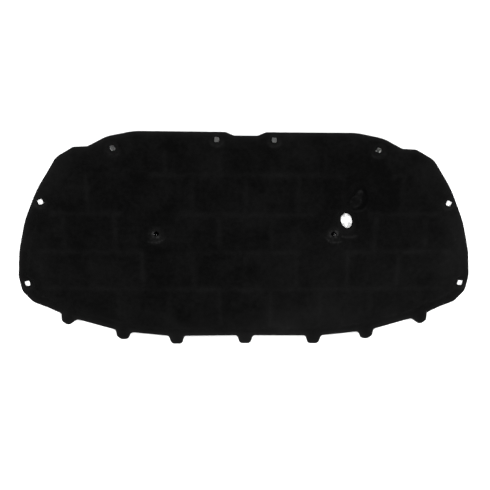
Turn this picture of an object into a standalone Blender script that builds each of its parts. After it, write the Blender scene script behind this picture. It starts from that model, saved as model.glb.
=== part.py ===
"""Hood insulation pad: one moulded sheet of faced fibre, lying with its pressed face up.

Sizes are in metres. +X runs across the vehicle, +Y to the pad's front edge and +Z up. The pad is
modelled flat on z = 0, cut up finely enough to bend, bowed up between its two ends as it lies on
them, and set down with the origin under the middle of its overall box.
"""

import math

import bmesh
import bpy
from mathutils import Matrix, Vector

for leftover in list(bpy.data.objects):
    bpy.data.objects.remove(leftover, do_unlink=True)

# Overall size of the sheet
HALF_WIDTH = 0.690
SHEET_DEPTH = 0.627
FRONT_Y = 0.238
REAR_Y = FRONT_Y - SHEET_DEPTH
BODY_THICKNESS = 0.012
FLANGE_THICKNESS = 0.003
SEAT_THICKNESS = 0.0026
EDGE_ROUNDING = 0.0085

# Latch notch in the front edge and locating tabs along the rear edge
NOTCH_HALF_WIDTH = 0.046
NOTCH_DEPTH = 0.012
NOTCH_SLOPE = 0.012
TAB_REACH = 0.027
TAB_HALF_WIDTH = 0.0165
TAB_ROOT = 0.0085

# Pressed channels laid out as running bond
BRICK_LENGTH = 0.155
BRICK_WIDTH = 0.116
CHANNEL_DEPTH = 0.0025
CHANNEL_HALF_WIDTH = 0.009
CHANNEL_FADE = 0.14 * BRICK_LENGTH
CHANNEL_FRONT_MARGIN = 0.034
CHANNEL_REAR_MARGIN = 0.030

# Clip seats and their holes
HOLE_SIDE = 0.0155
HOLE_CORNER = 0.003
SEAT_RADIUS = 0.019
SEAT_FLARE = 0.80
INNER_SEAT_RADIUS = 0.0165
INNER_HOLE_SIDE = 0.0150

# One-sided openings on the pad's right
OVAL_HOLE_WIDTH = 0.035
OVAL_HOLE_LENGTH = 0.045
OVAL_LEAN = math.radians(16)
OVAL_DISH_WIDTH = 0.050
OVAL_DISH_LENGTH = 0.064
OVAL_DISH_THICKNESS = 0.0034
POCKET_WIDTH = 0.038
POCKET_LENGTH = 0.048
POCKET_LEAN = math.radians(-24)
POCKET_FLOOR = 0.0045

# Rise of the bow along the centre line, and how its span narrows with the sheet's tapering ends
BOW_RISE = 0.020
BOW_WIDEST_Y = FRONT_Y - 0.430
BOW_TAPER_LENGTH = 0.558
ARC_STEP = math.radians(22.5)
CLEAR = 0.002

pad_collection = bpy.data.collections.new("hood_insulation_pad")
cutter_collection = bpy.data.collections.new("pad_cutters")
bpy.context.scene.collection.children.link(pad_collection)
bpy.context.scene.collection.children.link(cutter_collection)


def rounded(points):
    """Points with a fillet radius each, as a closed outline whose corners are arcs."""
    outline = []
    count = len(points)
    for index, (x, y, radius) in enumerate(points):
        before = Vector(points[index - 1][:2])
        corner = Vector((x, y))
        after = Vector(points[(index + 1) % count][:2])
        back = before - corner
        ahead = after - corner
        shortest = 0.49 * min(back.length, ahead.length)
        back.normalize()
        ahead.normalize()
        half_angle = back.angle(ahead) / 2
        cut = min(radius / math.tan(half_angle), shortest)
        radius = cut * math.tan(half_angle)
        centre = corner + (back + ahead).normalized() * (radius / math.sin(half_angle))
        spoke = corner + back * cut - centre
        turn = math.pi - 2 * half_angle
        if back.cross(ahead) > 0:
            turn = -turn
        steps = max(1, math.ceil(abs(turn) / ARC_STEP))
        for step in range(steps + 1):
            arm = Matrix.Rotation(turn * step / steps, 2) @ spoke
            outline.append(centre + arm)
    return outline


def both_sides(half):
    """The right half of an outline, front to rear, joined to its mirror image."""
    mirrored = [(-x, y, radius) for x, y, radius in reversed(half)]
    return half + mirrored


def plate(name, outline, low, high, rounding=0.0):
    """A flat plate between two heights, its upper rim rounded where a rounding is given."""
    curve = bpy.data.curves.new(name, "CURVE")
    curve.dimensions = "2D"
    curve.fill_mode = "BOTH"
    curve.extrude = (high - low) / 2 - rounding
    curve.bevel_depth = rounding
    curve.bevel_resolution = 1
    curve.offset = -rounding
    spline = curve.splines.new("POLY")
    spline.points.add(len(outline) - 1)
    for point, place in zip(spline.points, outline):
        point.co = (place[0], place[1], 0.0, 1.0)
    spline.use_cyclic_u = True
    made = bpy.data.objects.new(name, curve)
    pad_collection.objects.link(made)
    bpy.context.view_layer.update()
    mesh = bpy.data.meshes.new_from_object(made.evaluated_get(bpy.context.evaluated_depsgraph_get()))
    bpy.data.objects.remove(made, do_unlink=True)
    mesh.transform(Matrix.Translation((0, 0, (low + high) / 2)))
    solid = bpy.data.objects.new(name, mesh)
    pad_collection.objects.link(solid)
    tidy(solid)
    return solid


def tidy(solid):
    """Doubled points merged and the faces turned outwards."""
    sheet = bmesh.new()
    sheet.from_mesh(solid.data)
    bmesh.ops.remove_doubles(sheet, verts=sheet.verts, dist=1e-6)
    bmesh.ops.recalc_face_normals(sheet, faces=sheet.faces)
    sheet.to_mesh(solid.data)
    sheet.free()


def as_cutter(pieces, name):
    """Pieces that don't touch each other, joined into one hidden cutter."""
    whole = bmesh.new()
    for piece in pieces:
        piece.data.transform(piece.matrix_world)
        whole.from_mesh(piece.data)
        bpy.data.objects.remove(piece, do_unlink=True)
    bmesh.ops.recalc_face_normals(whole, faces=whole.faces)
    mesh = bpy.data.meshes.new(name)
    whole.to_mesh(mesh)
    whole.free()
    cutter = bpy.data.objects.new(name, mesh)
    cutter.hide_render = True
    cutter.display_type = "WIRE"
    cutter_collection.objects.link(cutter)
    return cutter


def combine(solid, other, operation):
    """One exact Boolean on the solid, applied at once."""
    modifier = solid.modifiers.new(other.name, "BOOLEAN")
    modifier.operation = operation
    modifier.solver = "EXACT"
    modifier.object = other
    bpy.context.view_layer.update()
    result = bpy.data.meshes.new_from_object(
        solid.evaluated_get(bpy.context.evaluated_depsgraph_get())
    )
    solid.modifiers.clear()
    solid.data = result


def down(share):
    """The y that lies a share of the sheet's depth behind its front edge."""
    return FRONT_Y - share * SHEET_DEPTH


def tab(centre, edge_y, reach):
    """The corners of one rear tab, from its outer root to its inner one."""
    return [
        (centre + TAB_HALF_WIDTH + TAB_ROOT, edge_y, 0.008),
        (centre + TAB_HALF_WIDTH, edge_y - reach, 0.013),
        (centre - TAB_HALF_WIDTH, edge_y - reach, 0.013),
        (centre - TAB_HALF_WIDTH - TAB_ROOT, edge_y, 0.008),
    ]


# Outline of the sheet's thin edge flange, right half from the notch round to the centre tab
def flange_half():
    shoulder_y = FRONT_Y - 0.047
    corner_y = FRONT_Y - 0.049
    front = [
        (NOTCH_HALF_WIDTH - NOTCH_SLOPE, FRONT_Y - NOTCH_DEPTH, 0.012),
        (NOTCH_HALF_WIDTH + NOTCH_SLOPE, FRONT_Y, 0.014),
        (HALF_WIDTH * 0.462, FRONT_Y, 0.160),
        (HALF_WIDTH * 0.578, FRONT_Y - 0.017, 0.110),
        (HALF_WIDTH * 0.661, shoulder_y, 0.022),
        (HALF_WIDTH * 0.722, corner_y, 0.028),
    ]
    end = [
        (HALF_WIDTH * 0.800, down(0.126), 0.060),
        (HALF_WIDTH * 0.882, down(0.258), 0.300),
        (HALF_WIDTH * 0.948, down(0.418), 0.260),
        (HALF_WIDTH * 0.986, down(0.566), 0.260),
        (HALF_WIDTH, down(0.694), 0.060),
        (HALF_WIDTH * 0.987, down(0.766), 0.030),
        (HALF_WIDTH * 0.942, down(0.820), 0.040),
        (HALF_WIDTH * 0.884, down(0.847), 0.060),
    ]
    outer_tab = [
        (HALF_WIDTH * 0.825, REAR_Y + 0.075, 0.006),
        (HALF_WIDTH * 0.828, REAR_Y + 0.049, 0.010),
        (HALF_WIDTH * 0.798, REAR_Y + 0.034, 0.014),
        (HALF_WIDTH * 0.755, REAR_Y + 0.055, 0.010),
    ]
    third_tab = [
        (HALF_WIDTH * 0.586, REAR_Y + 0.021, 0.008),
        (HALF_WIDTH * 0.581, REAR_Y - 0.002, 0.010),
        (HALF_WIDTH * 0.556, REAR_Y - 0.014, 0.020),
        (HALF_WIDTH * 0.528, REAR_Y - 0.009, 0.014),
        (HALF_WIDTH * 0.515, REAR_Y + 0.012, 0.010),
    ]
    second_tab = tab(HALF_WIDTH * 0.310, REAR_Y, TAB_REACH)
    centre_tab = tab(0, REAR_Y, TAB_REACH)[:2]
    return front + end + outer_tab + third_tab + second_tab + centre_tab


# Outline of the full-thickness body, which stands back from the flange's edge
def body_half():
    return [
        (0.118, FRONT_Y - 0.040, 0.020),
        (0.142, FRONT_Y - 0.012, 0.020),
        (HALF_WIDTH * 0.458, FRONT_Y - 0.012, 0.160),
        (HALF_WIDTH * 0.572, FRONT_Y - 0.029, 0.100),
        (HALF_WIDTH * 0.640, FRONT_Y - 0.062, 0.050),
        (HALF_WIDTH * 0.735, down(0.169), 0.060),
        (HALF_WIDTH * 0.812, down(0.287), 0.200),
        (HALF_WIDTH * 0.905, down(0.383), 0.120),
        (HALF_WIDTH * 0.965, down(0.566), 0.260),
        (HALF_WIDTH * 0.983, down(0.694), 0.060),
        (HALF_WIDTH * 0.970, down(0.758), 0.030),
        (HALF_WIDTH * 0.930, down(0.801), 0.040),
        (HALF_WIDTH * 0.870, down(0.831), 0.060),
        (HALF_WIDTH * 0.745, REAR_Y + 0.065, 0.200),
        (HALF_WIDTH * 0.505, REAR_Y + 0.024, 0.200),
        (HALF_WIDTH * 0.350, REAR_Y + 0.012, 0.200),
    ]


flange = plate("hood_insulation_pad", rounded(both_sides(flange_half())), 0.0, FLANGE_THICKNESS)
body = plate(
    "body",
    rounded(both_sides(body_half())),
    FLANGE_THICKNESS / 2 - 2 * EDGE_ROUNDING,
    BODY_THICKNESS,
    EDGE_ROUNDING,
)
trimmed = bmesh.new()
trimmed.from_mesh(body.data)
cut_through = bmesh.ops.bisect_plane(
    trimmed,
    geom=trimmed.verts[:] + trimmed.edges[:] + trimmed.faces[:],
    plane_co=(0, 0, FLANGE_THICKNESS / 2),
    plane_no=(0, 0, -1),
    clear_outer=True,
)
rim = [part for part in cut_through["geom_cut"] if isinstance(part, bmesh.types.BMEdge)]
bmesh.ops.contextual_create(trimmed, geom=rim)
bmesh.ops.recalc_face_normals(trimmed, faces=trimmed.faces)
trimmed.to_mesh(body.data)
trimmed.free()
combine(flange, body, "UNION")
bpy.data.objects.remove(body, do_unlink=True)


def channel(name, start, end, depth, fades):
    """A pressed channel's hollow from one point to another, sloping up at each end that fades."""
    run = Vector(end) - Vector(start)
    profile = []
    for across, down in ((1.2, -0.4), (1.0, 0.0), (0.66, 0.68), (0.34, 1.0)):
        profile.append((across * CHANNEL_HALF_WIDTH, -down * depth))
    profile += [(-across, up) for across, up in reversed(profile)]
    hollow = plate(name, profile, 0.0, run.length)
    for vertex in hollow.data.vertices:
        share = max(0.0, -vertex.co.y) / depth
        if vertex.co.z < run.length / 2 and fades[0]:
            vertex.co.z += CHANNEL_FADE * share
        elif vertex.co.z > run.length / 2 and fades[1]:
            vertex.co.z -= CHANNEL_FADE * share
    along = run.normalized()
    sideways = Vector((along.y, -along.x))
    stood = Matrix(
        (
            (sideways.x, 0.0, along.x, start[0]),
            (sideways.y, 0.0, along.y, start[1]),
            (0.0, 1.0, 0.0, BODY_THICKNESS),
            (0.0, 0.0, 0.0, 1.0),
        )
    )
    hollow.data.transform(stood)
    tidy(hollow)
    return hollow


# Long channels across the pad: centre-line place in bricks, the blank between two lengths, the end
long_channels = []
for row, blank_start, blank_end, outer_end in (
    (1, 1.90, 2.68, 3.13),
    (0, 1.41, 2.26, 3.84),
    (-1, 1.21, 1.93, 4.12),
    (-2, 0.0, 0.0, 4.10),
):
    y = row * BRICK_WIDTH
    if blank_end == 0.0:
        runs = [(-outer_end, outer_end)]
    else:
        runs = [(-outer_end, -blank_end), (-blank_start, blank_start), (blank_end, outer_end)]
    for first, last in runs:
        start = (first * BRICK_LENGTH, y)
        end = (last * BRICK_LENGTH, y)
        long_channels.append(channel("long_channel", start, end, CHANNEL_DEPTH, (True, True)))

# Short channels between the long ones, staggered by half a brick from course to course
short_channels = []
inner_depth = CHANNEL_DEPTH * 0.9
for course, places in (
    (1, (0.5, 1.5)),
    (0, (0.0, 1.0, 3.0)),
    (-1, (0.5, 2.5, 3.5)),
    (-2, (0.0, 1.0, 2.0, 3.0, 4.0)),
    (-3, (0.5, 1.5, 2.5, 3.5)),
):
    for place in places:
        low = course * BRICK_WIDTH
        high = low + BRICK_WIDTH
        fades = (False, False)
        if course == 1:
            high = FRONT_Y - CHANNEL_FRONT_MARGIN - 0.026 * (place < 1)
            fades = (False, True)
        if course == -3:
            low = REAR_Y + CHANNEL_REAR_MARGIN + 0.024 * (place > 2) + 0.030 * (place > 3)
            fades = (True, False)
        for side in (1, -1) if place else (1,):
            x = side * place * BRICK_LENGTH
            short_channels.append(channel("short_channel", (x, low), (x, high), inner_depth, fades))

combine(flange, as_cutter(long_channels, "long_channels"), "DIFFERENCE")
combine(flange, as_cutter(short_channels, "short_channels"), "DIFFERENCE")


def dish(centre, half_width, half_length, floor, lean):
    """A flared round or oval hollow, open at the top, with a flat floor."""
    depth = BODY_THICKNESS - floor + CLEAR
    spread = depth * SEAT_FLARE
    bpy.ops.mesh.primitive_cone_add(
        vertices=28,
        radius1=1.0,
        radius2=1.0 + spread / half_width,
        depth=depth,
        location=(centre[0], centre[1], floor + depth / 2),
        rotation=(0, 0, lean),
        scale=(half_width, half_length, 1.0),
    )
    made = bpy.context.object
    bpy.context.view_layer.update()
    return made


def hole(centre, side, corner, turn):
    """A rounded square hole right through the sheet."""
    half = side / 2
    square = [(-half, -half, corner), (half, -half, corner), (half, half, corner), (-half, half, corner)]
    made = plate("hole", rounded(square), -CLEAR, BODY_THICKNESS + CLEAR)
    made.matrix_world = Matrix.Translation((centre[0], centre[1], 0)) @ Matrix.Rotation(turn, 4, "Z")
    return made


# Edge clips: seats pressed down to a thin flat land with a square hole, turned to face the edge
front_inner = (0.083, FRONT_Y - 0.022)
front_outer = (HALF_WIDTH * 0.559, FRONT_Y - 0.050)
side_clip = (HALF_WIDTH * 0.878, down(0.330))
rear_corner = (HALF_WIDTH * 0.964, down(0.7305))
centre_clip = (0.264, -0.061)
seats = []
for (x, y), turn, radius in (
    (front_inner, math.radians(4), SEAT_RADIUS - 0.002),
    (front_outer, math.radians(-24), SEAT_RADIUS),
    (side_clip, math.radians(-20), SEAT_RADIUS - 0.003),
    (rear_corner, math.radians(-8), SEAT_RADIUS - 0.002),
):
    seats.append((Vector((x, y)), radius, HOLE_SIDE, turn))
    seats.append((Vector((-x, y)), radius, HOLE_SIDE, -turn))
for side in (1, -1):
    place = Vector((side * centre_clip[0], centre_clip[1]))
    seats.append((place, INNER_SEAT_RADIUS, INNER_HOLE_SIDE, side * math.radians(40)))
dishes = [dish(place, radius, radius, SEAT_THICKNESS, 0) for place, radius, _, _ in seats]
combine(flange, as_cutter(dishes, "clip_dishes"), "DIFFERENCE")

# Oval opening in its own wide dish, and the blind pocket above it
oval_centre = (0.3010, -0.0200)
oval_dish_centre = (0.3005, -0.0250)
pocket_centre = (0.3335, 0.0440)
oval_dish = dish(
    oval_dish_centre, OVAL_DISH_WIDTH / 2, OVAL_DISH_LENGTH / 2, OVAL_DISH_THICKNESS, OVAL_LEAN
)
pocket = dish(pocket_centre, POCKET_WIDTH / 2, POCKET_LENGTH / 2, POCKET_FLOOR, POCKET_LEAN)
combine(flange, as_cutter([oval_dish], "oval_dish"), "DIFFERENCE")
combine(flange, as_cutter([pocket], "pocket_hollow"), "DIFFERENCE")

bpy.ops.mesh.primitive_cylinder_add(
    vertices=32,
    radius=1.0,
    depth=BODY_THICKNESS + 2 * CLEAR,
    location=(oval_centre[0], oval_centre[1], BODY_THICKNESS / 2),
    rotation=(0, 0, OVAL_LEAN),
    scale=(OVAL_HOLE_WIDTH / 2, OVAL_HOLE_LENGTH / 2, 1.0),
)
oval_hole = bpy.context.object
bpy.context.view_layer.update()
holes = [hole(place, side, HOLE_CORNER, turn) for place, _, side, turn in seats]
combine(flange, as_cutter(holes + [oval_hole], "through_holes"), "DIFFERENCE")


def bow_height(x, y):
    """How far the sheet stands off the floor at a place."""
    narrowing = 1 - ((y - BOW_WIDEST_Y) / BOW_TAPER_LENGTH) ** 2
    return BOW_RISE * (1 - (x / HALF_WIDTH) ** 2 / narrowing)


# Cut the sheet into cells so that it can bend, then raise it, keeping every clip seat level
sheet = bmesh.new()
sheet.from_mesh(flange.data)
planes = []
for step in range(-5, 5):
    planes.append((((step + 0.25) * BRICK_LENGTH, 0, 0), (1, 0, 0)))
for step in range(-4, 2):
    planes.append(((0, (step + 0.5) * BRICK_WIDTH, 0), (0, 1, 0)))
for place, facing in planes:
    bmesh.ops.bisect_plane(
        sheet,
        geom=sheet.verts[:] + sheet.edges[:] + sheet.faces[:],
        dist=2e-5,
        plane_co=place,
        plane_no=facing,
    )
bmesh.ops.triangulate(sheet, faces=sheet.faces, quad_method="BEAUTY", ngon_method="BEAUTY")
bmesh.ops.remove_doubles(sheet, verts=sheet.verts, dist=2e-5)
for vertex in sheet.verts:
    x, y = vertex.co.x, vertex.co.y
    for place, radius, _, _ in seats:
        if (vertex.co.xy - place).length < radius + 2e-4:
            x, y = place
    vertex.co.z += bow_height(x, y)
lowest = min(vertex.co.z for vertex in sheet.verts)
middle_y = (FRONT_Y + REAR_Y - TAB_REACH) / 2
bmesh.ops.translate(sheet, verts=sheet.verts, vec=(0, -middle_y, -lowest))
bmesh.ops.recalc_face_normals(sheet, faces=sheet.faces)
sheet.to_mesh(flange.data)
sheet.free()

# Black needled fibre facing
facing = bpy.data.materials.new("black_fibre_facing")
facing.use_nodes = True
shader = facing.node_tree.nodes["Principled BSDF"]
shader.inputs["Base Color"].default_value = (0.012, 0.012, 0.013, 1.0)
shader.inputs["Roughness"].default_value = 0.95
flange.data.materials.clear()
flange.data.materials.append(facing)
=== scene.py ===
import math

import bmesh
import bpy
import numpy as np
from mathutils import Matrix, Vector, noise
from mathutils.geometry import delaunay_2d_cdt
from mathutils.kdtree import KDTree


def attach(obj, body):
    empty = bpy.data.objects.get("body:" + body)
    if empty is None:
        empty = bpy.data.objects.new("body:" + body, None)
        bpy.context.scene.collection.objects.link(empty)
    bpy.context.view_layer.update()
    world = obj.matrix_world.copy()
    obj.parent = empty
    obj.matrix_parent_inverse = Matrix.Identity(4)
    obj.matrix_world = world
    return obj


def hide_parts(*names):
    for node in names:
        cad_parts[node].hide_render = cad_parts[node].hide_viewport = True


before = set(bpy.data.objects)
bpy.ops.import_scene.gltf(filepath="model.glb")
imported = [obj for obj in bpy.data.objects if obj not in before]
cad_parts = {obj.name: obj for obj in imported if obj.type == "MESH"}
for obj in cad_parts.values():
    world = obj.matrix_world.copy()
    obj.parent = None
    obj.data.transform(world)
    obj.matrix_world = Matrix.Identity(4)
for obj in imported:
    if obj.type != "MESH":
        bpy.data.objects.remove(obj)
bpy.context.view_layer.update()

bpy.ops.object.select_all(action="DESELECT")


# Die-cut edge of the sheet
# The moulded pad is trimmed by one steel-rule die: a latch notch in the front edge, stepped front
# corners and seven tabs along the rear that tuck behind the cowl. Plan sizes are in millimetres.
def rounded(points):
    """Corner points with a fillet radius each, as a closed outline with arcs for corners."""
    outline = []
    for index, (x, y, radius) in enumerate(points):
        before = Vector(points[index - 1][:2])
        corner = Vector((x, y))
        after = Vector(points[(index + 1) % len(points)][:2])
        back = before - corner
        ahead = after - corner
        shortest = 0.49 * min(back.length, ahead.length)
        back.normalize()
        ahead.normalize()
        half_angle = back.angle(ahead) / 2
        cut = min(radius / math.tan(half_angle), shortest)
        radius = cut * math.tan(half_angle)
        centre = corner + (back + ahead).normalized() * (radius / math.sin(half_angle))
        spoke = corner + back * cut - centre
        turn = math.pi - 2 * half_angle
        if back.cross(ahead) > 0:
            turn = -turn
        steps = max(2, math.ceil(abs(turn) / math.radians(6)))
        for step in range(steps + 1):
            arm = Matrix.Rotation(turn * step / steps, 2) @ spoke
            outline.append(centre + arm)
    return np.array([tuple(point) for point in outline])


def both_sides(half):
    """The right half of an outline, front to rear, with its mirror image."""
    return half + [(-x, y, radius) for x, y, radius in reversed(half)]


def evenly(loop, spacing):
    """The same closed loop walked in equal steps."""
    closed = np.vstack([loop, loop[:1]])
    reach = np.concatenate([[0.0], np.cumsum(np.linalg.norm(np.diff(closed, axis=0), axis=1))])
    count = int(round(reach[-1] / spacing))
    at = np.arange(count) * reach[-1] / count
    return np.stack([np.interp(at, reach, closed[:, axis]) for axis in (0, 1)], -1)


def outward(loop):
    """Unit normals of a closed loop, pointing away from what it encloses."""
    along = np.roll(loop, -1, axis=0) - np.roll(loop, 1, axis=0)
    along /= np.linalg.norm(along, axis=1)[:, None]
    normal = np.stack([along[:, 1], -along[:, 0]], -1)
    area = np.sum(loop[:, 0] * np.roll(loop[:, 1], -1) - loop[:, 1] * np.roll(loop[:, 0], -1))
    return normal if area > 0 else -normal


trim_half = [
    (34, 228, 12), (58, 238, 14), (319, 238, 160), (399, 222, 110), (456, 193, 22), (498, 191, 28),
    (553, 161, 60), (610, 77, 300), (656, -24, 260), (682, -117, 260), (692, -197, 60),
    (685, -245, 30), (654, -281, 40), (612, -297, 60),
    (570, -317, 6), (571, -342, 10), (551, -357, 14), (521, -336, 10),
    (404, -369, 8), (401, -391, 10), (384, -403, 20), (364, -398, 14), (355, -377, 10),
    (239, -388, 8), (230, -415, 13), (197, -415, 13), (189, -388, 8),
    (25, -386, 8), (16.5, -413, 13),
]
edge_spacing = 2.6
trim_line = evenly(rounded(both_sides(trim_half)), edge_spacing)

# Clip holes and the oval opening
# Ten square holes are punched through pressed seats for push-in clips, and one larger oval beside
# the right centre seat. The knife leaves the felt a little ragged, the oval most of all, and handling
# has pulled some holes a millimetre or two sideways.
hole_spacing = 1.5
hole_corner = 3
hole_tufts = 0.7
oval_tufts = 1.0
oval_tuft_seed = 47.0
tuft_size = 3.1
clip_seats = []
for x, y, turn, land, width, pulled_right, pulled_left in (
    (83.0, 215.5, 4, 16.0, 13.2, -1.5, 0.3),
    (385.8, 188.0, -24, 19.0, 13.2, -0.4, 0.8),
    (605.8, 31.0, -20, 15.0, 14.4, 2.0, 0.0),
    (665.2, -220.0, -8, 16.0, 14.9, 1.2, -1.2),
    (264.0, -61.0, 40, 12.5, 12.6, 0.0, -1.0),
):
    clip_seats.append((x + pulled_right, y, turn, land, width))
    clip_seats.append((-x + pulled_left, y, -turn, land, width))


def ragged(loop, depth, seed):
    """A punched edge with small tufts and nicks."""
    push = np.array([noise.noise(Vector((x / tuft_size, y / tuft_size, seed))) for x, y in loop])
    return loop + outward(loop) * (push * depth)[:, None]


hole_lines = []
for number, (x, y, turn, land, width) in enumerate(clip_seats):
    half = width / 2
    corners = [(-half, -half), (half, -half), (half, half), (-half, half)]
    square = evenly(rounded([corner + (hole_corner,) for corner in corners]), hole_spacing)
    spin = Matrix.Rotation(math.radians(turn), 2)
    placed = np.array([tuple(spin @ Vector(point) + Vector((x, y))) for point in square])
    hole_lines.append(ragged(placed, hole_tufts, number))

oval_centre = np.array([302.0, -21.0])
oval_half = (16.1, 22.6)
oval_lean = math.radians(20)
around = np.linspace(0, 2 * math.pi, 90, endpoint=False)
upright_oval = np.stack([oval_half[0] * np.cos(around), oval_half[1] * np.sin(around)], -1)
oval_axes = np.array(
    [[math.cos(oval_lean), math.sin(oval_lean)], [-math.sin(oval_lean), math.cos(oval_lean)]]
)
oval_line = oval_centre + upright_oval @ oval_axes
hole_lines.append(ragged(evenly(oval_line, hole_spacing), oval_tufts, oval_tuft_seed))
pocket_centre = np.array([333.5, 45.0])
pocket_lean = math.radians(-26)

# Thick body and its pressed relief
# The fibre core stays about 12 mm thick inside the thin flange. Hot tooling presses channels into it
# as running bond, dishes round the clips, the oval's dish and a blind pocket above the oval.
body_half = [
    (118, 198, 20), (142, 226, 20), (316, 226, 160), (395, 209, 100), (442, 176, 50),
    (507, 132, 60), (560, 58, 200), (624, -2, 120), (666, -117, 260), (678, -197, 60),
    (669, -237, 30), (642, -264, 40), (600, -283, 60), (514, -324, 200), (348, -365, 200),
    (242, -377, 200),
]
body_line = evenly(rounded(both_sides(body_half)), 1.5)
body_height = 12.0
pressed_loss = 0.9
body_slope = 25.0
flange_height = 3.0
seat_height = 2.6
dish_height = 3.2
pocket_height = 4.6
brick = (155.0, 116.0)
channel_depth = 2.6
channel_reach = 9.5
channel_fade = 26.0
long_channel_strength = 0.75
dish_centre = oval_centre + (-0.5, -5.0)
dish_half = (25.0, 32.0)
dish_lip_centre = (306.0, -9.0)
dish_lip_radius = 60.0
pocket_half = (19.5, 27.0)


def smooth(share):
    """Ease from nought to one."""
    share = np.clip(share, 0, 1)
    return share * share * (3 - 2 * share)


def depth_inside(points, line):
    """Distance of each point from a closed line, positive inside it."""
    normals = outward(line)
    tree = KDTree(len(line))
    for index, (x, y) in enumerate(line):
        tree.insert((x, y, 0), index)
    tree.balance()
    found = []
    for x, y in points:
        place, index, distance = tree.find((x, y, 0))
        away = (x - place[0]) * normals[index, 0] + (y - place[1]) * normals[index, 1]
        found.append(-distance if away > 0 else distance)
    return np.array(found)


def soft_noise(points, size, seed, octaves=3):
    """Seeded cloudy noise of a given patch size, about -1 to 1."""
    return np.array(
        [noise.fractal(Vector((x / size, y / size, seed)), 1.0, 2.0, octaves) for x, y in points]
    )


channels = []
for row, blank_start, blank_end, outer_end in (
    (1, 295.0, 415.0, 485.0),
    (0, 218.0, 350.0, 595.0),
    (-1, 187.0, 300.0, 638.0),
    (-2, 0.0, 0.0, 636.0),
):
    y = row * brick[1]
    if blank_end:
        runs = [(-outer_end, -blank_end), (-blank_start, blank_start), (blank_end, outer_end)]
    else:
        runs = [(-outer_end, outer_end)]
    for first, last in runs:
        channels.append((first, y, last, y, True, True, long_channel_strength))
for course, places in (
    (1, ((0.5, 0.4, 0.45), (1.5, 0.6, 0.5))),
    (0, ((0.0, 0.65, 0.65), (1.0, 0.65, 0.8), (3.0, 0.85, 0.6))),
    (-1, ((0.5, 0.8, 0.55), (2.5, 0.9, 1.0), (3.5, 0.5, 0.55))),
    (-2, ((0.0, 0.4, 0.4), (1.0, 0.7, 0.7), (2.0, 1.25, 0.95), (3.0, 0.6, 0.7), (4.0, 0.25, 0.2))),
    (-3, ((0.5, 0.95, 0.7), (1.5, 0.3, 0.55), (2.5, 0.45, 0.45), (3.5, 0.4, 0.25))),
):
    for place, on_left, on_right in places:
        low = course * brick[1]
        high = low + brick[1]
        if course == 1:
            high = 204.0 - 26.0 * (place < 1)
        if course == -3:
            low = -359.0 + 24.0 * (place > 2) + 30.0 * (place > 3)
        for side, strength in ((1, on_right), (-1, on_left)) if place else ((1, on_right),):
            x = side * place * brick[0]
            channels.append((x, low, x, high, course == -3, course == 1, strength))


def channel_press(points):
    """Pressing depth and firmness of each point from the channels."""
    depth = np.zeros(len(points))
    firmness = np.zeros(len(points))
    for x0, y0, x1, y1, fades_first, fades_last, strength in channels:
        start = np.array([x0, y0])
        run = np.array([x1, y1]) - start
        length = np.linalg.norm(run)
        along = (points - start) @ (run / length)
        held = np.clip(along, 0, length)
        away = np.linalg.norm(points - start - held[:, None] * (run / length), axis=1)
        fade = np.ones(len(points))
        if fades_first:
            fade *= smooth(held / channel_fade)
        if fades_last:
            fade *= smooth((length - held) / channel_fade)
        press = fade * np.exp(-((away / channel_reach) ** 2))
        depth = np.maximum(depth, press * (0.45 + 0.55 * min(strength, 1.0)))
        firmness = np.maximum(firmness, press * strength)
    worn = np.clip(0.85 + 0.55 * soft_noise(points, 85.0, 29.0, 2), 0.15, 1.3)
    return depth, firmness * worn


def oval_radius(points, centre, half, lean):
    """Radius of each point in an oval's own measure, in millimetres beyond its rim."""
    turned = (points - centre) @ np.array(
        [[math.cos(lean), -math.sin(lean)], [math.sin(lean), math.cos(lean)]]
    )
    share = np.sqrt((turned[:, 0] / half[0]) ** 2 + (turned[:, 1] / half[1]) ** 2)
    return (share - 1) * (half[0] + half[1]) / 2


def around_clip(points, x, y):
    """Distance of each point from a clip's middle, and how much it lies to the clip's rear."""
    apart = points - (x, y)
    away = np.linalg.norm(apart, axis=1)
    return away, -apart[:, 1] / np.maximum(away, 1e-6)


def band(values, middle, half_width):
    """Nearly one where values are close to a middle, falling off softly."""
    return np.exp(-(((values - middle) / half_width) ** 2))


def is_centre(land):
    """True for the two deep seats in the middle of the pad."""
    return land < 14.0


# Swollen panels
# The fibre core springs back between the pressed lines, so every panel stands a little proud. The
# swell is a cloth run: a sheet of facing held along the lines, seats and rim and blown up from below.
cell = 9.0
cloth_columns = 155
cloth_rows = 73
cloth_middle_y = -75.0
swell_steps = 20
swell_limit = 1.5
sheet_x = (np.arange(cloth_columns) - (cloth_columns - 1) / 2) * cell
sheet_y = (np.arange(cloth_rows) - (cloth_rows - 1) / 2) * cell + cloth_middle_y
sheet_points = np.stack([part.ravel() for part in np.meshgrid(sheet_x, sheet_y)], -1)


def held_share(points):
    """How firmly the pressed lines, the seats and the rim hold the facing down."""
    pressed, _ = channel_press(points)
    held = np.maximum(smooth(pressed / 0.55), 1 - smooth(depth_inside(points, body_line) / 26.0))
    for x, y, _, land, _ in clip_seats:
        away, _ = around_clip(points, x, y)
        held = np.maximum(held, 1 - smooth((away - land - 8) / 10))
    for centre in (oval_centre, pocket_centre):
        away = np.linalg.norm(points - centre, axis=1)
        held = np.maximum(held, 1 - smooth((away - 30) / 14))
    return held


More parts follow.
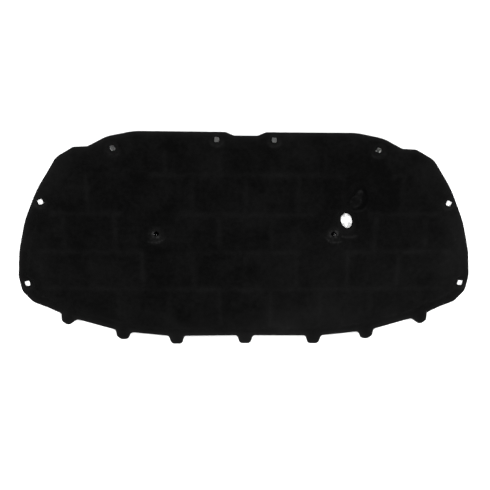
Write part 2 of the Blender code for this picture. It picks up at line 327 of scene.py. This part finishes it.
def cloth_swell():
    """Height that the facing gains on a regular net of points, from a short cloth run."""
    mesh = bpy.data.meshes.new("facing_sheet")
    faces = []
    for row in range(cloth_rows - 1):
        for column in range(cloth_columns - 1):
            corner = row * cloth_columns + column
            faces.append((corner, corner + 1, corner + cloth_columns + 1, corner + cloth_columns))
    sway = 0.15 * soft_noise(sheet_points, 40.0, 41.0)
    flat = np.column_stack([sheet_points, sway]) * 0.001
    mesh.from_pydata(flat.tolist(), [], faces)
    facing = bpy.data.objects.new("facing_sheet", mesh)
    bpy.context.scene.collection.objects.link(facing)
    pins = facing.vertex_groups.new(name="held")
    for index, weight in enumerate(held_share(sheet_points)):
        pins.add([index], float(weight), "REPLACE")
    cloth = facing.modifiers.new("swell", "CLOTH")
    cloth.settings.quality = 5
    cloth.settings.mass = 0.15
    cloth.settings.tension_stiffness = 18.0
    cloth.settings.compression_stiffness = 18.0
    cloth.settings.bending_stiffness = 1.5
    cloth.settings.vertex_group_mass = "held"
    cloth.settings.use_pressure = True
    cloth.settings.uniform_pressure_force = 1.2
    cloth.settings.shrink_min = -0.006
    cloth.settings.effector_weights.gravity = 0.0
    cloth.collision_settings.use_collision = False
    cloth.point_cache.frame_start = 1
    cloth.point_cache.frame_end = swell_steps
    for frame_number in range(1, swell_steps + 1):
        bpy.context.scene.frame_set(frame_number)
    blown = facing.evaluated_get(bpy.context.evaluated_depsgraph_get()).to_mesh()
    places = np.empty(3 * len(blown.vertices))
    blown.vertices.foreach_get("co", places)
    gained = places.reshape(-1, 3)[:, 2] * 1000 - sway
    bpy.context.scene.frame_set(1)
    bpy.data.objects.remove(facing, do_unlink=True)
    return gained.reshape(cloth_rows, cloth_columns)


swell_net = cloth_swell()


def swell(points):
    """The net's swell at any points, levelled off towards its limit."""
    across = np.clip((points[:, 0] - sheet_x[0]) / cell, 0, cloth_columns - 1.001)
    along = np.clip((points[:, 1] - sheet_y[0]) / cell, 0, cloth_rows - 1.001)
    column = across.astype(int)
    row = along.astype(int)
    u = smooth(across - column)
    v = smooth(along - row)
    lower = swell_net[row, column] * (1 - u) + swell_net[row, column + 1] * u
    upper = swell_net[row + 1, column] * (1 - u) + swell_net[row + 1, column + 1] * u
    return swell_limit * np.tanh((lower * (1 - v) + upper * v) / swell_limit)


def centre_seat_skin(points, x, y, crumple):
    """Crumpled skin of a deep centre seat: a rim by the hole that gets a painted highlight, and a raised
    lip behind it with a painted highlight too.
    """
    away, rearward = around_clip(points, x, y)
    inward = (points[:, 0] - x) * (-1 if x > 0 else 1)
    outer = -inward / np.maximum(away, 1e-6)
    second = -outer if x > 0 else rearward
    lobes = np.maximum(smooth(outer * 1.5 - 0.1), smooth(second * 1.5 - 0.2))
    rim = band(away + 2.5 * crumple, 11.0, 3.8) * np.clip(lobes, 0.10, 1)
    rim *= np.clip(0.75 + 1.6 * crumple, 0.1, 1.4)
    lip = band(points[:, 1] - y + 3.5 * crumple, -24.0 + 0.013 * (inward + 8.0) ** 2, 3.8)
    lip *= smooth((inward + 30.0) / 14.0) * smooth((35.0 - inward) / 20.0)
    lip *= np.clip(0.8 + 1.2 * crumple, 0.15, 1.2)
    return rim, lip


def pocket_skin(points, wrinkle):
    """Folds of the blind pocket, a narrow tongue over a round hollow, and its surround, sunk a little and
    darkened with painted shade.
    """
    across = points - pocket_centre
    tongue_edge = oval_radius(points, pocket_centre + (0.5, 13.0), (12.0, 18.0), math.radians(-16))
    hollow_edge = oval_radius(points, pocket_centre + (-8.5, -6.5), (16.5, 20.5), math.radians(-38))
    tongue_edge += 3.0 * wrinkle
    hollow_edge += 3.0 * wrinkle
    tongue = 1 - smooth((tongue_edge + 3.5) / 4.5)
    tongue *= 0.22 + 0.78 * smooth((across[:, 1] - 9.0) / 17.0) * smooth((across[:, 0] + 11.0) / 14.0)
    tongue *= smooth((across[:, 1] + 12.0) / 10.0) * np.clip(0.9 + 1.3 * wrinkle, 0.15, 1.2)
    toward = across + (7.0, 8.0)
    toward = toward / np.maximum(np.linalg.norm(toward, axis=1), 1e-6)[:, None]
    lower_right = smooth(0.25 + 0.75 * (toward[:, 0] - 0.7 * toward[:, 1]))
    upper_left = smooth(2.4 * (0.70 * toward[:, 1] - 0.72 * toward[:, 0]) - 1.1)
    rim = band(hollow_edge, -3.0, 3.2) * np.clip(np.maximum(lower_right, upper_left), 0.05, 1)
    rim *= np.clip(0.8 + 1.6 * wrinkle, 0.1, 1.2)
    hollow = 1 - smooth((hollow_edge + 3.0) / 4.0)
    beyond = np.minimum(tongue_edge, hollow_edge)
    surround = band(beyond, 4.6, 3.6) * (0.22 + 0.78 * smooth((across[:, 1] - 2.0) / 12.0))
    return tongue, rim, hollow, surround


def relief(points):
    """Height of the pressed face over the flat sheet, its firmness, its painted highlights and its
    painted shade.
    """
    inside = depth_inside(points, body_line)
    wander = soft_noise(points, 34.0, 3.0) * 2.2
    rise = smooth((inside + wander + 2.0) / body_slope)
    height = flange_height + (body_height - pressed_loss - flange_height) * rise
    press, firmness = channel_press(points)
    height += swell(points) * rise
    height -= channel_depth * press * rise
    height += 0.35 * rise * soft_noise(points, 60.0, 11.0) + 0.16 * soft_noise(points, 9.0, 17.0)
    firm = firmness * 0.55
    painted_highlight = np.zeros(len(points))
    # Painted shade along the rise of the body inside the flange, stronger towards the rear
    shade = -(0.07 + 0.13 * smooth((-170.0 - points[:, 1]) / 70.0)) * band(inside, 9.0, 9.0)
    crumple = soft_noise(points, 7.0, 51.0)
    for x, y, _, land, _ in clip_seats:
        away, rearward = around_clip(points, x, y)
        bowl = smooth((away - land) / 11.0)
        level = seat_height + (height - seat_height) * bowl
        height = np.where(bowl < 1, np.minimum(height, level), height)
        firm = np.maximum(firm, 0.40 * (1 - bowl))
        if is_centre(land):
            rim, lip = centre_seat_skin(points, x, y, crumple)
            height += 0.8 * lip + 0.5 * crumple * band(away, 17.0, 8.0)
            # Painted highlight on the rim by each centre hole, on the lip behind it and faintly around
            # the seat
            painted_highlight = np.maximum(painted_highlight, np.maximum(0.75 * rim, 0.36 * lip))
            painted_highlight = np.maximum(painted_highlight, 0.16 * band(away, 17.0, 7.0) * (0.8 + crumple))
        else:
            # Painted highlight on a lip behind each edge seat, and painted shade on the ring in front of
            # it
            lip = band(away + 2.0 * crumple, land + 3.0, 4.5) * smooth(rearward * 1.2 + 0.1)
            painted_highlight = np.maximum(painted_highlight, 0.12 * lip * np.clip(0.8 + 1.2 * crumple, 0, 1.6))
            shade -= 0.22 * band(away, land + 4.0, 5.0) * smooth(0.3 - rearward * 1.4)
    for centre, half, lean, bottom, wall in (
        (dish_centre, dish_half, oval_lean, dish_height, 14.0),
        (pocket_centre, pocket_half, pocket_lean, pocket_height, 8.0),
    ):
        beyond = oval_radius(points, centre, half, lean)
        bowl = smooth(beyond / wall)
        level = bottom + (height - bottom) * bowl
        height = np.where(bowl < 1, np.minimum(height, level), height)
    dish_edge = oval_radius(points, dish_centre, dish_half, oval_lean)
    firm = np.maximum(firm, 0.40 * (1 - smooth(dish_edge / 18.0)))
    # Painted highlight on a raised lip behind the oval's dish
    away, rearward = around_clip(points, *dish_lip_centre)
    dish_lip = band(away + 1.2 * crumple, dish_lip_radius, 3.6) * smooth((rearward - 0.86) / 0.1)
    height += 0.7 * dish_lip
    painted_highlight = np.maximum(painted_highlight, 0.24 * dish_lip * np.clip(0.9 + 0.6 * crumple, 0, 1.4))
    wrinkle = soft_noise(points, 13.0, 61.0)
    tongue, rim, hollow, surround = pocket_skin(points, wrinkle)
    # Painted highlight on the pocket's tongue and rim, painted light on its hollow floor and painted
    # shade on its sunk surround
    height += 1.3 * tongue + 1.0 * rim - 0.8 * surround
    painted_highlight = np.maximum(painted_highlight, np.maximum(0.24 * tongue, 0.20 * rim))
    shade += 0.04 * hollow - 0.70 * surround
    # A faint painted highlight on a band below the pocket
    between = band(oval_radius(points, pocket_centre + (-4.0, -8.0), (31.0, 28.0), 0.0), 0.0, 3.5)
    between *= smooth((pocket_centre[1] - 12.0 - points[:, 1]) / 14.0)
    painted_highlight = np.maximum(painted_highlight, 0.07 * between * np.clip(0.8 + wrinkle, 0, 1.3))
    return height, firm, painted_highlight, shade


def painted_light_and_blotches(points):
    """Painted highlight along the cut edge, lighter patches of painted sheen, a painted shadow below the
    left centre seat and other darker patches.
    """
    to_edge = np.maximum(depth_inside(points, trim_line), 0)
    # Painted highlight along the cut edge, stronger in the rear middle
    rear_middle = smooth((-300.0 - points[:, 1]) / 60.0)
    shade = 0.34 * (1 + 0.7 * rear_middle) * np.exp(-to_edge / 16.0) + 1.1 * np.exp(-to_edge / 5.5)
    wander = 0.35 * np.stack([soft_noise(points, 45.0, 71.0), soft_noise(points, 45.0, 77.0)], -1)
    # Patches with a positive amount are painted sheen, the one at (-255, -110) is a painted shadow below
    # the left centre seat, and the other negative ones darken the felt in patches
    for x, y, reach_x, reach_y, amount in (
        (-550, 125, 75, 70, 0.34),
        (-625, -120, 60, 150, 0.10),
        (590, 120, 80, 70, 0.22),
        (645, -120, 55, 120, 0.50),
        (480, -165, 150, 90, 0.12),
        (127, -355, 45, 26, 0.60),
        (290, -320, 190, 55, 0.42),
        (0, -410, 260, 40, 0.25),
        (-430, -330, 140, 45, 0.12),
        (-197, -314, 26, 24, -0.30),
        (19, -177, 24, 28, -0.34),
        (15, -291, 40, 26, -0.26),
        (-466, -58, 15, 15, -0.26),
        (-255, -110, 38, 13, -0.40),
        (-300, -150, 110, 50, -0.12),
        (-211, 197, 28, 16, -0.22),
        (-380, 120, 110, 70, -0.10),
        (365, 90, 90, 60, -0.10),
        (186, -227, 28, 20, -0.20),
        (0, 70, 330, 110, 0.02),
        (330, -230, 330, 130, 0.10),
        (-60, -330, 220, 80, 0.12),
        (-230, 60, 240, 150, -0.10),
        (-560, -60, 130, 110, -0.10),
        (380, 60, 150, 110, -0.06),
        (645, 20, 50, 70, 0.16),
        (120, 140, 110, 60, -0.06),
    ):
        apart = (points - (x, y)) / (reach_x, reach_y) + wander
        shade += amount * np.exp(-np.sum(apart**2, axis=1))
    return shade


# Lie of the sheet
# Off its hood the sheet rests on its two ends and bows up a little between them. Each clip seat is
# pressed level, and the thin dish of the oval sags. Handling has skewed the sheet a touch and drawn
# its left front shoulder and the hole there towards the middle.
bow_rise = 20.0
bow_half_width = 690.0
bow_widest_y = -192.0
bow_taper_length = 558.0
resting_lift = 0.75
plan_shift_y = 89.0
skew_slope = 0.0065
oval_sag = 10.5
oval_sag_reach = 29.0
drawn_in = ((-580, 118, 95, 75, 4.2), (-385, 180, 50, 34, 3.4))


def bow(x, y):
    """Height of the free sheet's underside over the floor."""
    narrowing = 1 - ((y - bow_widest_y) / bow_taper_length) ** 2
    return bow_rise * (1 - (x / bow_half_width) ** 2 / narrowing)


def lie(points):
    """Height of the sheet's underside with its clip seats pressed level."""
    free = bow(points[:, 0], points[:, 1])
    level = free.copy()
    for x, y, _, land, _ in clip_seats:
        away = np.linalg.norm(points - (x, y), axis=1)
        level += (bow(x, y) - free) * (1 - smooth((away - land + 2) / 12.0))
    beside = np.linalg.norm(points - oval_centre - (3.0, 2.0), axis=1)
    return level + resting_lift - oval_sag * np.exp(-((beside / oval_sag_reach) ** 2))


def stretch(points):
    """How far handling has drawn each point of the sheet to the right."""
    drawn = np.zeros(len(points))
    for x, y, reach_x, reach_y, pull in drawn_in:
        share = -(((points[:, 0] - x) / reach_x) ** 2) - ((points[:, 1] - y) / reach_y) ** 2
        drawn += pull * np.exp(share)
    return drawn


# Felt pad
# Needled polyester felt over a fibre core, all one black moulding: a fine pressed face, a rounded
# soft cut edge and a plain back. Its mesh is a close net of points over the whole cut sheet.
net_spacing = 3.2
back_spacing = 11.0
edge_softness = 0.9
corner_rounding = 0.7
row_step = 0.866


def net_points(loops, spacing):
    """Staggered points inside the sheet and outside its holes, clear of every cut edge."""
    tree = KDTree(sum(len(loop) for loop in loops))
    for place in np.vstack(loops):
        tree.insert((place[0], place[1], 0), 0)
    tree.balance()
    starts = np.vstack(loops)
    ends = np.vstack([np.roll(loop, -1, axis=0) for loop in loops])
    low = starts.min(axis=0)
    high = starts.max(axis=0)
    points = []
    rows = int((high[1] - low[1]) / (spacing * row_step))
    for row in range(rows + 1):
        y = low[1] + row * spacing * row_step + 0.013
        spans = (starts[:, 1] > y) != (ends[:, 1] > y)
        share = (y - starts[spans, 1]) / (ends[spans, 1] - starts[spans, 1])
        crossings = np.sort(starts[spans, 0] + share * (ends[spans, 0] - starts[spans, 0]))
        offset = spacing / 2 if row % 2 else 0.0
        for left, right in zip(crossings[::2], crossings[1::2]):
            first = math.ceil((left - offset) / spacing)
            last = math.floor((right - offset) / spacing)
            for step in range(first, last + 1):
                x = step * spacing + offset
                if tree.find((x, y, 0))[2] > 0.62 * min(spacing, 4.0):
                    points.append((x, y))
    return np.array(points)


def inside_loop(x, y, loop):
    """True where a point lies within a closed loop."""
    ends = np.roll(loop, -1, axis=0)
    spans = (loop[:, 1] > y) != (ends[:, 1] > y)
    share = (y - loop[spans, 1]) / (ends[spans, 1] - loop[spans, 1])
    return np.count_nonzero(loop[spans, 0] + share * (ends[spans, 0] - loop[spans, 0]) > x) % 2 == 1


def sheet_faces(loops, inner):
    """Triangles over the sheet from its edge loops and inner points, holes left open."""
    corners = [Vector(point) for point in np.vstack(loops + [inner])]
    edges = []
    start = 0
    for loop in loops:
        count = len(loop)
        edges += [(start + step, start + (step + 1) % count) for step in range(count)]
        start += count
    _, _, faces, origins, _, _ = delaunay_2d_cdt(corners, edges, [], 1, 1e-5)
    edge_loop = np.concatenate([np.full(len(loop), number) for number, loop in enumerate(loops)])
    kept = []
    for face in faces:
        ids = [origins[corner][0] for corner in face]
        if max(ids) < len(edge_loop):
            owners = {int(edge_loop[corner]) for corner in ids}
            number = owners.pop()
            if not owners and number > 0:
                middle = sum((corners[corner] for corner in ids), Vector((0, 0))) / 3
                if inside_loop(middle.x, middle.y, loops[number]):
                    continue
        kept.append(ids)
    return kept


cut_loops = [trim_line] + hole_lines
soft_loops = [trim_line - outward(trim_line) * edge_softness]
soft_loops += [loop + outward(loop) * edge_softness for loop in hole_lines]
edge_count = sum(len(loop) for loop in cut_loops)
face_inner = net_points(soft_loops, net_spacing)
back_inner = net_points(soft_loops, back_spacing)
face_plan = np.vstack(soft_loops + [face_inner])
wall_plan = np.vstack([loop * 0.8 + soft * 0.2 for loop, soft in zip(cut_loops, soft_loops)])
back_plan = np.vstack(soft_loops + [back_inner])

face_height, face_firm, face_highlight, face_shade = relief(face_plan)
wall_height = face_height[:edge_count]
back_height = 0.12 + 0.12 * soft_noise(back_plan, 16.0, 23.0)
plan = np.vstack([face_plan, wall_plan, wall_plan, back_plan])
upper_height = wall_height - corner_rounding
lower_height = back_height[:edge_count] + corner_rounding
height = np.concatenate([face_height, upper_height, lower_height, back_height])
rim_firm = face_firm[:edge_count]
firm = np.concatenate([face_firm, rim_firm, rim_firm, np.full(len(back_plan), 0.35)])
rim_highlight = face_highlight[:edge_count] * 0.5
painted_highlight = np.concatenate([face_highlight, rim_highlight, rim_highlight, np.zeros(len(back_plan))])
# Painted highlight, sheen and shade from the edge, the patches and the relief, with the darker patches,
# make one attribute that lightens or darkens the felt's grey
shade = painted_light_and_blotches(plan)
shade[: len(face_plan)] += face_shade

lift = lie(plan)
skew = smooth((plan[:, 1] + 200.0) / 430.0)
placed = np.stack(
    [
        plan[:, 0] + stretch(plan),
        plan[:, 1] - skew_slope * plan[:, 0] * skew + plan_shift_y,
        np.maximum(height + lift, 0.02),
    ],
    -1,
)

face_start = 0
upper_start = len(face_plan)
lower_start = upper_start + edge_count
back_start = lower_start + edge_count
triangles = [tuple(ids) for ids in sheet_faces(soft_loops, face_inner)]
for ids in sheet_faces(soft_loops, back_inner):
    triangles.append(tuple(back_start + corner for corner in reversed(ids)))
edge_bands = ((face_start, upper_start), (upper_start, lower_start), (lower_start, back_start))
first = 0
for loop in cut_loops:
    count = len(loop)
    for step in range(count):
        here = first + step
        there = first + (step + 1) % count
        for upper, lower in edge_bands:
            triangles.append((upper + here, lower + here, lower + there, upper + there))
    first += count

felt_mesh = bpy.data.meshes.new("felt_pad")
felt_mesh.from_pydata((placed * 0.001).tolist(), [], triangles)
felt_pad = bpy.data.objects.new("felt_pad", felt_mesh)
bpy.context.scene.collection.objects.link(felt_pad)
turned = bmesh.new()
turned.from_mesh(felt_mesh)
bmesh.ops.recalc_face_normals(turned, faces=turned.faces)
turned.to_mesh(felt_mesh)
turned.free()
felt_mesh.polygons.foreach_set("use_smooth", np.ones(len(felt_mesh.polygons), dtype=bool))
for layer_name, values in (("pressed", firm), ("painted_highlight", painted_highlight), ("painted_light_and_blotches", shade)):
    layer = felt_mesh.attributes.new(layer_name, "FLOAT", "POINT")
    layer.data.foreach_set("value", values.astype(np.float32))
felt_mesh.update()

felt = bpy.data.materials.new("black_needled_felt")
felt.use_nodes = True
tree = felt.node_tree
shader = tree.nodes["Principled BSDF"]
shader.inputs["Specular IOR Level"].default_value = 0.036
shader.inputs["Sheen Weight"].default_value = 0.006
shader.inputs["Sheen Roughness"].default_value = 0.5


def node(kind, **settings):
    """A new node of the felt's material with its settings."""
    made = tree.nodes.new(kind)
    for name, value in settings.items():
        setattr(made, name, value)
    return made


def noise_of(scale, detail, source, roughness=0.55):
    """Cloudy noise on the pad's own coordinates."""
    made = node("ShaderNodeTexNoise")
    made.inputs["Scale"].default_value = scale
    made.inputs["Detail"].default_value = detail
    made.inputs["Roughness"].default_value = roughness
    tree.links.new(source, made.inputs["Vector"])
    return made.outputs["Fac"]


def blended(kind, first, second):
    """Two values combined by a Math node."""
    made = node("ShaderNodeMath", operation=kind)
    for socket, value in zip(made.inputs, (first, second)):
        if isinstance(value, float):
            socket.default_value = value
        else:
            tree.links.new(value, socket)
    return made.outputs[0]


def ranged(source, low, high, out_low, out_high, held=True):
    """A value moved from one range to another, and held inside it unless told otherwise."""
    made = node("ShaderNodeMapRange", clamp=held)
    tree.links.new(source, made.inputs["Value"])
    for name, value in (("From Min", low), ("From Max", high), ("To Min", out_low), ("To Max", out_high)):
        made.inputs[name].default_value = value
    return made.outputs["Result"]


# Patches, clouds and crossed strands make the grey, pressed felt is lighter, and painted highlight, sheen
# and shade lighten or darken it
place = node("ShaderNodeTexCoord").outputs["Object"]
strands = None
for turn in (17.0, 74.0, 131.0):
    comb = node("ShaderNodeMapping")
    comb.inputs["Rotation"].default_value = (0, 0, math.radians(turn))
    comb.inputs["Scale"].default_value = (160.0, 2200.0, 900.0)
    tree.links.new(place, comb.inputs["Vector"])
    strand = ranged(noise_of(1.0, 3.0, comb.outputs["Vector"]), 0.52, 0.72, 0.0, 1.0)
    strands = strand if strands is None else blended("MAXIMUM", strands, strand)
patches = noise_of(11.0, 4.0, place)
clouds = noise_of(75.0, 5.0, place, 0.65)
grain = noise_of(620.0, 3.0, place, 0.7)
pressed = node("ShaderNodeAttribute", attribute_name="pressed").outputs["Fac"]
tone = blended("ADD", ranged(patches, 0.35, 0.65, 0.0, 0.36), ranged(clouds, 0.3, 0.7, 0.0, 0.36))
tone = blended("ADD", tone, ranged(pressed, 0.0, 1.0, 0.0, 0.30))
tone = blended("ADD", tone, blended("MULTIPLY", strands, 0.16))
tone = blended("ADD", tone, node("ShaderNodeAttribute", attribute_name="painted_light_and_blotches").outputs["Fac"])
fibre_grey = ranged(tone, 0.13, 1.0, 0.0, 0.00245, False)
# Painted highlight on rims, lips and crescents lightens the grey
highlight_share = node("ShaderNodeAttribute", attribute_name="painted_highlight").outputs["Fac"]
highlight_grey = blended("MULTIPLY", highlight_share, ranged(grain, 0.35, 0.65, 0.008, 0.020))
grey = blended("MAXIMUM", blended("ADD", fibre_grey, highlight_grey), 0.00004)
tree.links.new(grey, shader.inputs["Base Color"])
tree.links.new(ranged(pressed, 0.0, 1.0, 0.90, 0.55), shader.inputs["Roughness"])
fuzz = node("ShaderNodeBump")
fuzz.inputs["Strength"].default_value = 0.55
fuzz.inputs["Distance"].default_value = 0.0005
tree.links.new(blended("ADD", blended("MULTIPLY", strands, 0.5), grain), fuzz.inputs["Height"])
lumps = node("ShaderNodeBump")
lumps.inputs["Strength"].default_value = 0.5
lumps.inputs["Distance"].default_value = 0.0012
tree.links.new(clouds, lumps.inputs["Height"])
tree.links.new(fuzz.outputs["Normal"], lumps.inputs["Normal"])
tree.links.new(lumps.outputs["Normal"], shader.inputs["Normal"])
felt_mesh.materials.append(felt)

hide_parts("hood_insulation_pad")
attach(felt_pad, "root")


# Studio: pale floor, low soft light from all round, and the photograph's camera
# The floor is a broad white sweep lit so evenly from its corners and front that it burns out to white.
# Most light comes in low, so the holes nearer the raised middle look down on shaded floor, and weak
# steeper lights fill the oval and the holes near the edge.
floor_size = 16.0
bpy.ops.mesh.primitive_plane_add(size=floor_size, location=(0, 0, 0))
floor = bpy.context.object
floor.name = "studio_floor"
floor_paint = bpy.data.materials.new("pale_floor")
floor_paint.use_nodes = True
floor_shader = floor_paint.node_tree.nodes["Principled BSDF"]
floor_shader.inputs["Base Color"].default_value = (0.86, 0.86, 0.86, 1)
floor_shader.inputs["Roughness"].default_value = 0.9
floor.data.materials.append(floor_paint)

for name, tilt, heading, strength, softness in (
    ("front_left_light", 52, 54, 3.0, 6),
    ("front_right_light", 52, -54, 3.3, 6),
    ("rear_left_light", 52, 132, 2.3, 6),
    ("rear_right_light", 52, -132, 2.5, 6),
    ("low_front_light", 58, 0, 0.75, 8),
    ("steep_front_left_light", 35, 45, 0.13, 5),
    ("steep_front_right_light", 35, -45, 0.13, 5),
    ("steep_rear_left_light", 35, 135, 0.13, 5),
    ("steep_rear_right_light", 35, -135, 0.13, 5),
):
    lamp = bpy.data.lights.new(name, "SUN")
    lamp.energy = strength
    lamp.angle = math.radians(softness)
    placed_lamp = bpy.data.objects.new(name, lamp)
    placed_lamp.rotation_euler = (math.radians(-tilt), 0, math.radians(heading))
    bpy.context.scene.collection.objects.link(placed_lamp)

# The room glows from its walls but not from overhead
sky = bpy.data.worlds.new("soft_room")
sky.use_nodes = True
room = sky.node_tree
heading = room.nodes.new("ShaderNodeTexCoord")
upward = room.nodes.new("ShaderNodeSeparateXYZ")
room.links.new(heading.outputs["Generated"], upward.inputs[0])
glow = room.nodes.new("ShaderNodeMapRange")
for socket, value in (("From Min", 0.62), ("From Max", 0.76), ("To Min", 0.50), ("To Max", 0.012)):
    glow.inputs[socket].default_value = value
room.links.new(upward.outputs["Z"], glow.inputs["Value"])
room.links.new(glow.outputs["Result"], room.nodes["Background"].inputs["Strength"])
bpy.context.scene.world = sky
bpy.context.scene.view_settings.view_transform = "Standard"

lens = bpy.data.cameras.new("photo_camera")
lens.sensor_width = 36.0
lens.lens = 40.56
camera = bpy.data.objects.new("photo_camera", lens)
camera.location = (-0.0289, 0.4149, 1.6202)
camera.rotation_euler = (math.radians(-14.73), math.radians(-0.947), math.radians(0.188))
bpy.context.scene.collection.objects.link(camera)
bpy.context.scene.camera = camera
